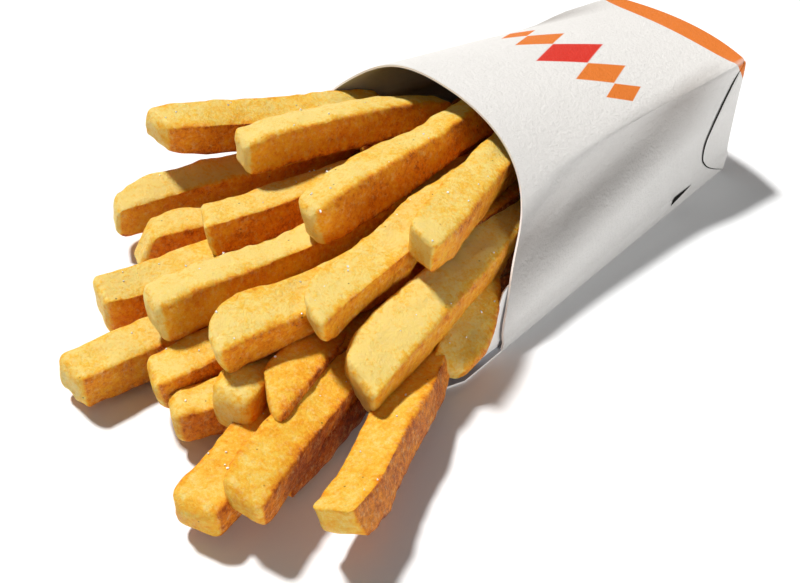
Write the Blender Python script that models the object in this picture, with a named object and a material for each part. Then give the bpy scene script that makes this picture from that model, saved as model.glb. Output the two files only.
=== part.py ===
# French fries in a carton, lying on the carton's back panel.
#
# Frame: +Z up, the mouth of the carton towards -Y, +X to its right as seen from the base.
# The origin lies on the resting face, on the centre line, 50 mm in front of the base.
# All sizes below are in millimetres.

import math
import random
from collections import namedtuple

import bmesh
import bpy
from mathutils import Vector

MM = 0.001

# Carton, driving dimensions
BASE_Y = 50.0
SIDE_LENGTH = 98.9
CROWN_LENGTH = 80.6
BASE_WIDTH = 47.3
MOUTH_WIDTH = 93.0
BASE_HEIGHT = 32.8
CROWN_HEIGHT = 39.9
BASE_BULGE = 4.6
GUSSET_DISH = 6.0
BOARD = 0.5
TONGUE_SIDE = 13.0
TONGUE_REACH = 40.0
TONGUE_ROUND = 2.2
RIM_SWEEP = 5.5
BOXY_EXPONENT = 24.0
ROUND_EXPONENT = 2.24
EAR_WIDTH = 7.0
EAR_LIFT = 0.5
EAR_OVERHANG = 0.4
EAR_START = 0.08
EAR_END = 0.92

# Carton, mesh steps
ARCH_STEPS = 32
PANEL_STEPS = 16
LENGTH_STEPS = 10
TONGUE_STEPS = 4
GUSSET_STEPS = 8
MERGE = 0.01

# Core of the heap, a low mound that the fries are fused to
CORE_SIDES = 16
CORE_FLOOR = 1.3
CoreStation = namedtuple("CoreStation", "y middle half_width height")
CORE = (
    CoreStation(44, 0, 20, 29),
    CoreStation(20, 0, 25, 31),
    CoreStation(-2, 0, 29, 32),
    CoreStation(-12, 0, 32, 19),
    CoreStation(-28, 1, 35, 19),
    CoreStation(-48, 5, 33, 17),
    CoreStation(-70, 12, 29, 14),
    CoreStation(-92, 20, 27, 9),
    CoreStation(-104, 23, 20, 5),
)

# Fries: tip is the middle of the outer end; bearing is the way it points, in degrees from
# -Y towards +X; rise is positive where the tip is higher than the heel; bow and sag are the
# bends sideways and up at mid length.
Fry = namedtuple("Fry", "x y z bearing rise length width depth roll bow sag")
TOP_ROW = (
    Fry(-39, -87, 27, -12, 4, 84, 11, 10, 8, 1, 1),
    Fry(-18, -78, 26, -9, -1, 62, 11, 11, 10, -1, 2),
    Fry(14, -79, 27, 11, -2, 76, 11, 11, 20, 0, 1),
    Fry(37, -66, 30, 26, 4, 75, 10, 11, 25, 0, 0),
    Fry(53, -94, 15, 22, -3, 96, 12, 11, 15, 0, 1),
)
MIDDLE_ROW = (
    Fry(-36, -99, 12, -3, 0, 74, 10, 10, 10, 0, 0),
    Fry(-8, -95, 20, 5, 1, 86, 11, 11, 8, 1, 0),
    Fry(12, -114, 18, 3, 0, 98, 11, 11, 15, 1, 0),
    Fry(27, -108, 19, 1, 0, 70, 12, 10, 5, 0, 0),
    Fry(40, -95, 24, 20, 2, 76, 12, 10, 12, 0, 1),
    Fry(29, -56, 17, 13, -3, 56, 7, 9, 0, 0, 0),
    Fry(56, -74, 8, 35, -3, 50, 13, 8, 30, -1, 0),
)
LOWER_ROW = (
    Fry(-22, -102, 9, -13, 0, 74, 10, 11, 0, 0, 0),
    Fry(-8, -118, 9, -3, 0, 90, 10, 11, 10, 0, 0),
    Fry(42, -107, 12, 28, 0, 62, 11, 11, 30, 0, 0),
    Fry(37, -114, 11, 34, 1, 56, 9, 11, 0, 0, 0),
    Fry(38, -92, 11, 19, -1, 68, 10, 10, 0, 0, 0),
    Fry(60, -124, 11, 29, 0, 78, 11, 10, 15, 0, 0),
)
FLOOR_ROW = (
    Fry(9, -133, 7, 4, 0, 96, 11, 10, 0, 0, 0),
    Fry(21, -120, 8, 0, 0, 68, 11, 10, 5, 0, 0),
    Fry(31, -122, 6, -14, 0, 40, 10, 9, 0, 0, 0),
    Fry(51, -131, 7, 27, 0, 74, 11, 10, 0, 0, 0),
    Fry(57, -111, 6, 23, 0, 58, 10, 9, 0, 0, 0),
    Fry(76, -113, 14, 31, 4, 82, 11, 10, 10, 2, -3),
)

# Fries, shape of one bar
BAR_STATIONS = (0.0, 0.05, 0.35, 0.65, 0.95, 1.0)
END_SCALE = 0.78
CORNER_CUT = 0.22
END_SLANT = 0.35
GIRTH_SPREAD = 0.06
SEED = 11


def clear_scene():
    for obj in list(bpy.data.objects):
        bpy.data.objects.remove(obj, do_unlink=True)


def make_material(name, colour, roughness):
    material = bpy.data.materials.new(name)
    material.use_nodes = True
    shader = material.node_tree.nodes["Principled BSDF"]
    shader.inputs["Base Color"].default_value = (*colour, 1.0)
    shader.inputs["Roughness"].default_value = roughness
    shader.inputs["Metallic"].default_value = 0.0
    return material


def make_object(name, work, material):
    """Turn a bmesh in millimetres into an object in metres."""
    bmesh.ops.remove_doubles(work, verts=work.verts, dist=MERGE)
    bmesh.ops.recalc_face_normals(work, faces=work.faces)
    bmesh.ops.scale(work, vec=(MM, MM, MM), verts=work.verts)
    mesh = bpy.data.meshes.new(name)
    work.to_mesh(mesh)
    work.free()
    mesh.materials.append(material)
    obj = bpy.data.objects.new(name, mesh)
    bpy.context.scene.collection.objects.link(obj)
    return obj


# Carton

def half_width(share):
    """Half the back panel's width, share of the side's length from the base."""
    return (BASE_WIDTH + (MOUTH_WIDTH - BASE_WIDTH) * share) / 2


def superellipse(turn, half, height, power):
    """Point (x, z) of an arch, turn from 0 (right) to pi (left); a high power makes it boxy."""
    c, s = math.cos(turn), math.sin(turn)
    reach = (abs(c) ** power + abs(s) ** power) ** (-1 / power)
    return reach * c * half, abs(reach * s) * height


def base_line(x):
    """How far the curved crease of the base stands out behind BASE_Y."""
    return BASE_BULGE * max(0.0, 1 - (2 * x / BASE_WIDTH) ** 2)


def base_vertex(turn):
    """Point of the front panel's crease round the base, which is boxy."""
    x, z = superellipse(turn, BASE_WIDTH / 2, BASE_HEIGHT, BOXY_EXPONENT)
    return Vector((x, BASE_Y + base_line(x), z))


def rim_vertex(turn):
    """Point of the mouth's rim, an arch that is swept back at the crown."""
    side = abs(superellipse(turn, 1.0, 1.0, ROUND_EXPONENT)[0]) ** (ROUND_EXPONENT / 2)
    run = CROWN_LENGTH + (SIDE_LENGTH - CROWN_LENGTH) * side ** RIM_SWEEP
    x, z = superellipse(turn, half_width(run / SIDE_LENGTH), CROWN_HEIGHT, ROUND_EXPONENT)
    return Vector((x, BASE_Y - run, z))


def front_vertex(turn, step):
    """Point of the front panel, step from 0 at the base to 1 at the rim, along a straight line."""
    return base_vertex(turn).lerp(rim_vertex(turn), step)


def panel_vertex(across, step):
    """Vertex of the flat back panel, across from 1 (right) to -1 (left)."""
    x = across * half_width(step)
    back = base_line(across * BASE_WIDTH / 2) * (1 - step)
    return Vector((x, BASE_Y + back - SIDE_LENGTH * step, 0.0))


def tongue_vertex(across, step):
    """Vertex of the back panel's rounded tongue, beyond the front panel's corners."""
    round_off = (1 - abs(across) ** TONGUE_ROUND) ** (1 / TONGUE_ROUND)
    reach = (TONGUE_SIDE + (TONGUE_REACH - TONGUE_SIDE) * round_off) * step
    side = TONGUE_SIDE * step
    x = across * half_width(1 + side / SIDE_LENGTH)
    return Vector((x, BASE_Y - SIDE_LENGTH - reach, 0.0))


def gusset_vertex(across, up):
    """Vertex of the base gusset, dished between its two curved creases."""
    quarter = math.pi / 4
    low_x = across * BASE_WIDTH / 2
    top = base_vertex(2 * quarter - across * quarter)
    side = base_vertex(up * quarter)
    corner = base_vertex(quarter)
    straight_side = BASE_WIDTH / 2 + (corner.x - BASE_WIDTH / 2) * up
    x = low_x + (top.x - low_x) * up + across * (side.x - straight_side)
    z = top.z * up + side.z - corner.z * up
    dish = GUSSET_DISH * 4 * up * (1 - up) * (1 - across ** 4)
    return Vector((x, BASE_Y + base_line(x) - dish, z))


def add_grid(work, rows):
    """Quads between rows of points."""
    grid = [[work.verts.new(point) for point in row] for row in rows]
    for near, far in zip(grid, grid[1:]):
        for i in range(len(near) - 1):
            work.faces.new((near[i], near[i + 1], far[i + 1], far[i]))


def steps(count, start=0.0, end=1.0):
    return [start + (end - start) * i / count for i in range(count + 1)]


def make_shell(material):
    """Front panel, back panel, tongue and base gusset as one folded sheet with a thickness."""
    work = bmesh.new()
    turns = steps(ARCH_STEPS, 0.0, math.pi)
    across = steps(PANEL_STEPS, 1.0, -1.0)
    add_grid(work, [[front_vertex(turn, step) for turn in turns] for step in steps(LENGTH_STEPS)])
    add_grid(work, [[panel_vertex(a, step) for a in across] for step in steps(LENGTH_STEPS)])
    add_grid(work, [[tongue_vertex(a, step) for a in across] for step in steps(TONGUE_STEPS)])
    add_grid(work, [[gusset_vertex(a, up) for a in across] for up in steps(GUSSET_STEPS)])
    shell = make_object("carton", work, material)
    solidify = shell.modifiers.new("board", "SOLIDIFY")
    solidify.thickness = BOARD * MM
    solidify.offset = -1.0
    solidify.use_even_offset = True
    return shell


def apply_modifiers(obj):
    """Replace the object's mesh by its evaluated one."""
    graph = bpy.context.evaluated_depsgraph_get()
    mesh = bpy.data.meshes.new_from_object(obj.evaluated_get(graph))
    obj.modifiers.clear()
    obj.data = mesh
    mesh.name = obj.name


def make_ear(side, material):
    """Glued ear of the gusset, folded over the side at the base: a tapering layer of board."""
    work = bmesh.new()
    rings = []
    for up in steps(GUSSET_STEPS, EAR_START, EAR_END):
        turn = up * math.pi / 4
        back = base_vertex(turn) + Vector((0.0, EAR_OVERHANG, 0.0))
        front = front_vertex(turn, EAR_WIDTH * (1.1 - up) / SIDE_LENGTH)
        lift = Vector((EAR_LIFT, 0.0, 0.0))
        sunk = Vector((-BOARD / 2, 0.0, 0.0))
        ring = (back + sunk, front + sunk, front + lift, back + lift)
        rings.append([Vector((side * point.x, point.y, point.z)) for point in ring])
    add_tube(work, rings)
    return make_object("ear", work, material)


def add_tube(work, rings):
    """Closed tube through rings of points, with flat ends."""
    made = [[work.verts.new(point) for point in ring] for ring in rings]
    count = len(made[0])
    for near, far in zip(made, made[1:]):
        for i in range(count):
            j = (i + 1) % count
            work.faces.new((near[i], near[j], far[j], far[i]))
    work.faces.new(reversed(made[0]))
    work.faces.new(made[-1])


def join_pieces(body, pieces):
    """One Boolean union of the body with the pieces, which are then removed."""
    collection = bpy.data.collections.new(body.name + "_pieces")
    bpy.context.scene.collection.children.link(collection)
    for piece in pieces:
        bpy.context.scene.collection.objects.unlink(piece)
        collection.objects.link(piece)
    union = body.modifiers.new("union", "BOOLEAN")
    union.operation = "UNION"
    union.operand_type = "COLLECTION"
    union.collection = collection
    union.solver = "EXACT"
    bpy.context.view_layer.update()
    apply_modifiers(body)
    for piece in pieces:
        bpy.data.objects.remove(piece, do_unlink=True)
    bpy.data.collections.remove(collection)


def keep_largest_shell(obj):
    """Keep the outer shell alone: sealed hollows are filled and loose scraps dropped."""
    work = bmesh.new()
    work.from_mesh(obj.data)
    left = set(work.faces)
    shells = []
    while left:
        shell = {left.pop()}
        to_visit = list(shell)
        while to_visit:
            face = to_visit.pop()
            for edge in face.edges:
                for other in edge.link_faces:
                    if other in left:
                        left.discard(other)
                        shell.add(other)
                        to_visit.append(other)
        shells.append(shell)
    shells.sort(key=len)
    loose = [face for shell in shells[:-1] for face in shell]
    bmesh.ops.delete(work, geom=loose, context="FACES")
    bmesh.ops.triangulate(work, faces=work.faces)
    work.to_mesh(obj.data)
    work.free()


def make_carton():
    board = make_material("white_board", (0.86, 0.85, 0.83), 0.55)
    shell = make_shell(board)
    apply_modifiers(shell)
    join_pieces(shell, [make_ear(1, board), make_ear(-1, board)])
    keep_largest_shell(shell)
    return shell


# Fries

def make_core(material):
    """Low mound inside the carton and under the fries."""
    work = bmesh.new()
    rings = []
    for station in CORE:
        ring = []
        for i in range(CORE_SIDES):
            turn = math.pi * i / (CORE_SIDES - 1)
            x = station.middle + station.half_width * math.cos(turn)
            z = CORE_FLOOR + (station.height - CORE_FLOOR) * math.sin(turn) ** 0.6
            ring.append(Vector((x, station.y, z)))
        rings.append(ring)
    add_tube(work, rings)
    return make_object("fries", work, material)


def bar_section(width, depth):
    """Square with its corners cut, eight points."""
    w, d = width / 2, depth / 2
    cut = CORNER_CUT * min(width, depth)
    return (
        (w, d - cut), (w - cut, d), (cut - w, d), (-w, d - cut),
        (-w, cut - d), (cut - w, -d), (w - cut, -d), (w, cut - d),
    )


def make_fry(fry, draw, material):
    """One bent bar with a cut end and its corners worn off."""
    bearing, rise = math.radians(fry.bearing), math.radians(fry.rise)
    outward = Vector((math.sin(bearing) * math.cos(rise), -math.cos(bearing) * math.cos(rise), math.sin(rise)))
    side = Vector((math.cos(bearing), math.sin(bearing), 0.0))
    up = side.cross(-outward)
    roll = math.radians(fry.roll)
    across = side * math.cos(roll) + up * math.sin(roll)
    over = up * math.cos(roll) - side * math.sin(roll)
    tip = Vector((fry.x, fry.y, fry.z))
    slants = [draw.uniform(-END_SLANT, END_SLANT) for _ in range(4)]
    rings = []
    for place in BAR_STATIONS:
        at_end = place in (0.0, 1.0)
        scale = END_SCALE if at_end else 1 + draw.uniform(-GIRTH_SPREAD, GIRTH_SPREAD)
        bend = 4 * place * (1 - place)
        middle = tip - outward * (fry.length * place) + side * (fry.bow * bend) + up * (fry.sag * bend)
        slant = slants[:2] if place < 0.5 else slants[2:]
        ring = []
        for a, b in bar_section(fry.width * scale, fry.depth * scale):
            skew = (slant[0] * a + slant[1] * b) if at_end else 0.0
            ring.append(middle + across * a + over * b + outward * skew)
        rings.append(ring)
    work = bmesh.new()
    add_tube(work, rings)
    return make_object("fry", work, material)


def make_fries():
    potato = make_material("fried_potato", (0.78, 0.42, 0.09), 0.5)
    draw = random.Random(SEED)
    heap = make_core(potato)
    bars = [make_fry(fry, draw, potato) for fry in TOP_ROW + MIDDLE_ROW + LOWER_ROW + FLOOR_ROW]
    join_pieces(heap, bars)
    keep_largest_shell(heap)
    return heap


def main():
    clear_scene()
    make_carton()
    make_fries()


main()
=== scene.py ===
# %% [markdown]
# French fries in a carton, dressed for its portrait.
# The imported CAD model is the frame: it fixes every size and place. This lesson builds the pieces
# that are seen on top of it, one cell at a time: the folded carton, the fries, the salt, and then
# the light and the camera. Work is done in millimetres and turned into metres at the very end of
# each piece, because a fry is easier to think about as 11 mm wide than as 0.011 m.

# %% Load the frame
import math
from collections import namedtuple
from itertools import product

import bmesh
import bpy
import numpy as np
from mathutils import Matrix, Vector
from mathutils.bvhtree import BVHTree


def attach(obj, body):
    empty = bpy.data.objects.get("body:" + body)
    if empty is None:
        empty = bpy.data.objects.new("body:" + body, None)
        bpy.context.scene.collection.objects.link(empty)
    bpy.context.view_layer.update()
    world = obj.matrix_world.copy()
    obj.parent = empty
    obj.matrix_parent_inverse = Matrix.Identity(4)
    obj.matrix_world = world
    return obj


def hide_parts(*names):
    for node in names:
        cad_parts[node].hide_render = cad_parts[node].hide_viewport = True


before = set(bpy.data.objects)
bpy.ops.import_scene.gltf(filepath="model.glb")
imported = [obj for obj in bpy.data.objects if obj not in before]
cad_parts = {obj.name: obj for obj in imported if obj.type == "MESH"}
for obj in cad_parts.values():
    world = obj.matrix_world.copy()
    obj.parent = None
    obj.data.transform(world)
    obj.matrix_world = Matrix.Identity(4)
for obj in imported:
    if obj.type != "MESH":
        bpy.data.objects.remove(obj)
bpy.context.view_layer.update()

MM = 0.001

# %% [markdown]
# Shader maths reads best as ordinary sums. Blender's nodes can be added by hand, but a mask such
# as "one minus the noise, times three" takes three nodes and six lines. A small class wraps a
# node's output socket and turns +, -, * and / into Math nodes, so that the sum itself is written
# in the material. Any other node comes from one method: type, settings first, then the sockets.

# %% Sockets that can be added and multiplied
def operator_pair(operation):
    """Two methods for one operator: with the wire on its left, and on its right."""
    return (
        lambda self, other: self.math(operation, self, other),
        lambda self, other: self.math(operation, other, self))


class Wire:
    """An output socket that can stand in a sum with numbers and other wires."""

    __add__, __radd__ = operator_pair("ADD")
    __sub__, __rsub__ = operator_pair("SUBTRACT")
    __mul__, __rmul__ = operator_pair("MULTIPLY")
    __truediv__, __rtruediv__ = operator_pair("DIVIDE")

    def __init__(self, paint, socket):
        self.paint = paint
        self.socket = socket

    def math(self, operation, *values):
        return self.paint.node("ShaderNodeMath", {"operation": operation}, dict(enumerate(values)))

    def size(self):
        return self.math("ABSOLUTE", self)

    def least(self, other):
        return self.math("MINIMUM", self, other)

    def above(self, level, blur):
        """0 below the level, 1 above it, with a soft step that is blur wide."""
        step = {"clamp": True}
        values = {"Value": self, "From Min": level - blur / 2, "From Max": level + blur / 2}
        return self.paint.node("ShaderNodeMapRange", step, values)


class Paint:
    """A material that is built node by node around one Principled shader."""

    def __init__(self, name, **constants):
        self.material = bpy.data.materials.new(name)
        self.material.use_nodes = True
        self.tree = self.material.node_tree
        self.shader = self.tree.nodes["Principled BSDF"]
        for socket, value in constants.items():
            self.shader.inputs[socket.replace("_", " ")].default_value = value

    def node(self, kind, settings, inputs, output=0):
        """Add a node: its settings first, then the values or links of its sockets."""
        made = self.tree.nodes.new(kind)
        for key, value in settings.items():
            if key == "stops":
                set_stops(made.color_ramp, value)
            else:
                setattr(made, key, value)
        for key, value in inputs.items():
            self.join(made.inputs[key], value)
        return Wire(self, made.outputs[output])

    def join(self, socket, value):
        if isinstance(value, Wire):
            self.tree.links.new(value.socket, socket)
        else:
            socket.default_value = value

    def feed(self, **sockets):
        """Link wires to the shader's own sockets."""
        for name, wire in sockets.items():
            self.join(self.shader.inputs[name.replace("_", " ")], wire)

    def mix(self, factor, first, second, blend="MIX"):
        """Colour that goes from the first to the second as the factor goes from 0 to 1."""
        kind = {"data_type": "RGBA", "blend_type": blend, "clamp_factor": True}
        return self.node("ShaderNodeMix", kind, {0: factor, 6: first, 7: second}, 2)

    def attribute(self, name):
        """A number that the mesh carries on its vertices."""
        return self.node("ShaderNodeAttribute", {"attribute_name": name}, {}, "Fac")

    def place(self):
        """Object coordinates in millimetres, as a vector and as three numbers."""
        metres = self.node("ShaderNodeTexCoord", {}, {}, "Object")
        scaled = {"operation": "SCALE"}
        where = self.node("ShaderNodeVectorMath", scaled, {0: metres, "Scale": 1 / MM})
        parts = [self.node("ShaderNodeSeparateXYZ", {}, {0: where}, i) for i in range(3)]
        return where, parts

    def stretch(self, where, x, y, z):
        """The same place with each direction scaled, for grain that runs one way."""
        scaled = {"operation": "MULTIPLY"}
        return self.node("ShaderNodeVectorMath", scaled, {0: where, 1: (x, y, z)})

    def noise(self, where, size, detail=2.0, rough=0.5):
        """Cloudy noise from 0 to 1 whose lumps are about this many millimetres."""
        values = {"Vector": where, "Scale": 1 / size, "Detail": detail, "Roughness": rough}
        return self.node("ShaderNodeTexNoise", {}, values)

    def bump(self, height, depth, strength=1.0):
        """Relief of this many millimetres, for the shader's Normal."""
        values = {"Height": height, "Distance": depth * MM, "Strength": strength}
        return self.node("ShaderNodeBump", {}, values)


def set_stops(ramp, stops):
    """Give a colour ramp its stops: place and colour."""
    while len(ramp.elements) < len(stops):
        ramp.elements.new(1.0)
    for element, (at, colour) in zip(ramp.elements, stops):
        element.position = at
        element.color = (*colour, 1.0)


# %% [markdown]
# Every piece here starts as rows of points worked out with numpy, which is quick even for a
# hundred thousand of them. One helper turns points and faces into an object, writes any numbers
# that the material will read onto the vertices, and lets the piece ride on the CAD body.

# %% From points to an object
def make_piece(name, points, faces, material, numbers=None):
    """A mesh object from points in millimetres, with smooth faces."""
    mesh = bpy.data.meshes.new(name)
    mesh.from_pydata((np.asarray(points) * MM).tolist(), [], faces)
    for key, values in (numbers or {}).items():
        layer = mesh.attributes.new(key, "FLOAT", "POINT")
        layer.data.foreach_set("value", np.asarray(values, dtype=np.float32).ravel())
    mesh.materials.append(material)
    mesh.shade_smooth()
    piece = bpy.data.objects.new(name, mesh)
    bpy.context.scene.collection.objects.link(piece)
    return piece


def grid_faces(rows, columns, closed=False, start=0):
    """Quads between rows of points; closed joins the last column to the first."""
    wide = columns if closed else columns - 1
    faces = []
    for low in range(start, start + (rows - 1) * columns, columns):
        high = low + columns
        for j in range(wide):
            k = (j + 1) % columns
            faces.append((low + j, low + k, high + k, high + j))
    return faces


def settle(piece, slot, *nodes):
    """Let the piece ride and hide the CAD nodes that it replaces; the slot is not used."""
    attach(piece, "root")
    if nodes:
        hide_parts(*nodes)
    print(piece.name, len(piece.data.polygons), "faces")


# %% [markdown]
# Nothing fried or folded is perfectly smooth. Blender has noise textures, but the shape itself
# needs noise too, at every vertex at once. This is value noise: a repeatable random number sits
# at every corner of a grid in space, and each point blends the eight corners around it.

# %% Noise for shapes
HASH = (374761393, 668265263, 2147483647, 1274126177)
MASK = 0xFFFFFFFF


def corner_value(x, y, z, seed):
    mixed = (x * HASH[0] + y * HASH[1] + z * HASH[2] + seed * HASH[3]) & MASK
    mixed = ((mixed ^ (mixed >> 13)) * HASH[3]) & MASK
    return ((mixed ^ (mixed >> 16)) & 0xFFFF) / 0xFFFF


def lumps(points, size, seed):
    """Smooth noise from -1 to 1 at the points, with lumps of this size."""
    spot = np.asarray(points) / size
    low = np.floor(spot).astype(np.int64)
    part = spot - low
    part = part * part * (3 - 2 * part)
    total = np.zeros(len(spot))
    for corner in product((0, 1), repeat=3):
        share = np.prod(np.where(corner, part, 1 - part), axis=1)
        total += share * corner_value(*(low + corner).T, seed)
    return 2 * total - 1


probe = lumps(np.random.default_rng(1).uniform(0, 90, (1000, 3)), 5.0, 3)
print("noise from", round(float(probe.min()), 2), "to", round(float(probe.max()), 2))

# %% [markdown]
# The carton is one sheet of board, about half a millimetre thick, folded round the fries: a flat
# back panel that it lies on, a front panel that arches over, and a base that is pushed in. The
# front panel is boxy at the base and round at the mouth. It could be sculpted, but board only
# bends one way at a time, so it is ruled: straight lines run from the base crease to the rim,
# and that gives the sharp corner that fades into a soft shoulder.

# %% Carton sizes and its curves
BASE_Y = 50.0
SIDE_LENGTH = 98.9
CROWN_LENGTH = 80.6
BASE_WIDTH = 47.3
MOUTH_WIDTH = 93.0
BASE_HEIGHT = 32.8
CROWN_HEIGHT = 39.9
BASE_BULGE = 4.6
GUSSET_DISH = 6.0
BOARD = 0.5
TONGUE_SIDE = 13.0
TONGUE_REACH = 40.0
TONGUE_ROUND = 2.2
RIM_SWEEP = 5.5
BOXY_EXPONENT = 60.0
ROUND_EXPONENT = 2.24
CORNER = math.pi / 4


def ramp(distance, reach):
    """0 up to no distance, then rising to 1 at this reach."""
    return np.clip(distance / reach, 0, 1)


def half_width(share):
    return (BASE_WIDTH + (MOUTH_WIDTH - BASE_WIDTH) * share) / 2


def boxy_circle(turn, power):
    """A round of radius 1 that a high power makes square."""
    c, s = np.cos(turn), np.sin(turn)
    reach = (np.abs(c) ** power + np.abs(s) ** power) ** (-1 / power)
    return np.stack([reach * c, reach * s], -1)


def superellipse(turn, half, height, power):
    """Arch from 0 (right) over the top to pi (left); a high power makes it boxy."""
    x, z = np.moveaxis(boxy_circle(turn, power), -1, 0)
    return x * half, np.abs(z) * height


def spread_along(line, count, endpoint=True):
    """This many points, evenly spaced along a broken line."""
    run = np.concatenate([[0], np.cumsum(np.hypot(*np.diff(line, axis=0).T))])
    at = np.linspace(0, run[-1], count, endpoint=endpoint)
    return np.stack([np.interp(at, run, values) for values in line.T], -1)


def base_line(x):
    return BASE_BULGE * np.maximum(0.0, 1 - (2 * x / BASE_WIDTH) ** 2)


def base_point(turn):
    """The crease round the base."""
    x, z = superellipse(turn, BASE_WIDTH / 2, BASE_HEIGHT, BOXY_EXPONENT)
    return np.stack([x, BASE_Y + base_line(x), z], -1)


def rim_point(turn):
    """The rim of the mouth, swept back at the crown."""
    side = np.abs(superellipse(turn, 1.0, 1.0, ROUND_EXPONENT)[0]) ** (ROUND_EXPONENT / 2)
    run = CROWN_LENGTH + (SIDE_LENGTH - CROWN_LENGTH) * side ** RIM_SWEEP
    x, z = superellipse(turn, half_width(run / SIDE_LENGTH), CROWN_HEIGHT, ROUND_EXPONENT)
    return np.stack([x, BASE_Y - run, z], -1)


def front_point(turn, step):
    """A point of the front panel on the straight line from the crease to the rim."""
    step = np.asarray(step)[..., None]
    return base_point(turn) * (1 - step) + rim_point(turn) * step


print("crown of the rim:", front_point(np.array(math.pi / 2), 1.0).round(1))

# %% [markdown]
# Two small folds make the carton look folded rather than cast. A few millimetres above the floor
# the board has a score line, where the side turns under: it shows as a thin light ridge. The
# shoulder is a sharp crest at the base and a soft dent towards the mouth, as board takes when it
# is pressed open by hand. Both are pushed along the panel's own normals.

# %% Front panel, back panel, tongue and base as grids
SCORE_AT_BASE = 5.6
SCORE_AT_MOUTH = 2.6
SCORE_RIDGE = 0.55
SCORE_FADE = 1.1
SIDE_STEPS = 64
TOP_STEPS = 96
LENGTH_STEPS = 110
TONGUE_STEPS = 36
WAVE_SIZE = 24.0
WAVE_DEPTH = 0.22
CREST_LIFT = 0.45
CREST_SPREAD = 2.2
CREST_BEGIN = 0.03
CREST_END = 0.34
CREST_FADE = 0.08
DENT_START = 43.0
DENT_DRIFT = 17.0
DENT_SWEEP = 1.6
DENT_SPREAD = 7.5
DENT_DEPTH = 2.9
DENT_WIDEN = 1.0
DENT_BEGIN = 0.20
DENT_FINISH = 1.08
DENT_FADE = 0.3

side_turns = np.linspace(0, CORNER, SIDE_STEPS + 1)
top_turns = np.linspace(CORNER, 3 * CORNER, TOP_STEPS + 1)
turns = np.concatenate([side_turns, top_turns[1:], math.pi - side_turns[-2::-1]])
acrosses = (math.pi / 2 - top_turns) / CORNER
ups = side_turns / CORNER
lengths = np.linspace(0, 1, LENGTH_STEPS + 1)


def score_ridge(points, step):
    """How far the score line stands out, from its height above the floor."""
    score = SCORE_AT_BASE + (SCORE_AT_MOUTH - SCORE_AT_BASE) * step
    z = points[..., 2]
    over = np.exp(-np.maximum(z - score, 0) / SCORE_FADE)
    return SCORE_RIDGE * ramp(z, score) * over


def dent_turn(step):
    """Where round the arch the dent is deepest, in degrees: it drifts down towards the mouth."""
    return DENT_START - DENT_DRIFT * step ** DENT_SWEEP


def pressed_form(turn, step):
    """How far the shoulder is pressed out or in: sharp at the base, dented towards the mouth."""
    fold = np.minimum(turn, math.pi - turn)
    sharp = CREST_LIFT * np.exp(-(np.degrees(fold - CORNER) / CREST_SPREAD) ** 2)
    sharp *= ramp(CREST_END - step, CREST_FADE) * ramp(step, CREST_BEGIN)
    across = (np.degrees(fold) - dent_turn(step)) / (DENT_SPREAD + DENT_WIDEN * step)
    fade = ramp(step - DENT_BEGIN, DENT_FADE) * ramp(DENT_FINISH - step, DENT_FADE)
    return sharp - DENT_DEPTH * np.exp(-across ** 2) * fade


def front_grid():
    turn, step = np.meshgrid(turns, lengths)
    points = front_point(turn, step)
    along_turn = np.gradient(points, axis=1)
    along_step = np.gradient(points, axis=0)
    normals = np.cross(along_turn, along_step)
    normals /= np.linalg.norm(normals, axis=-1)[..., None]
    normals *= np.sign(normals[:, len(turns) // 2, 2])[:, None, None]
    points += normals * pressed_form(turn, step)[..., None]
    points[..., 0] += np.sign(points[..., 0]) * score_ridge(points, step)
    return points


def panel_grid():
    across, step = np.meshgrid(acrosses, lengths)
    back = base_line(across * BASE_WIDTH / 2) * (1 - step)
    return np.stack([across * half_width(step), BASE_Y + back - SIDE_LENGTH * step, 0 * step], -1)


def tongue_grid():
    across, step = np.meshgrid(acrosses, np.linspace(0, 1, TONGUE_STEPS + 1))
    round_off = (1 - np.abs(across) ** TONGUE_ROUND) ** (1 / TONGUE_ROUND)
    reach = (TONGUE_SIDE + (TONGUE_REACH - TONGUE_SIDE) * round_off) * step
    x = across * half_width(1 + TONGUE_SIDE * step / SIDE_LENGTH)
    return np.stack([x, BASE_Y - SIDE_LENGTH - reach, 0 * step], -1)


def gusset_grid():
    """The base, pushed in between its two curved creases."""
    across, up = np.meshgrid(acrosses, ups)
    low_x = across * BASE_WIDTH / 2
    top = base_point(math.pi / 2 - across * CORNER)
    side = base_point(up * CORNER)
    corner = base_point(np.array(CORNER))
    straight = BASE_WIDTH / 2 + (corner[0] - BASE_WIDTH / 2) * up
    x = low_x + (top[..., 0] - low_x) * up + across * (side[..., 0] - straight)
    z = top[..., 2] * up + side[..., 2] - corner[2] * up
    dish = GUSSET_DISH * 4 * up * (1 - up) * (1 - across ** 4)
    return np.stack([x, BASE_Y + base_line(x) - dish, z], -1)


grids = [front_grid(), panel_grid(), tongue_grid(), gusset_grid()]
print("grid points:", [g.shape[:2] for g in grids])
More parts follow.
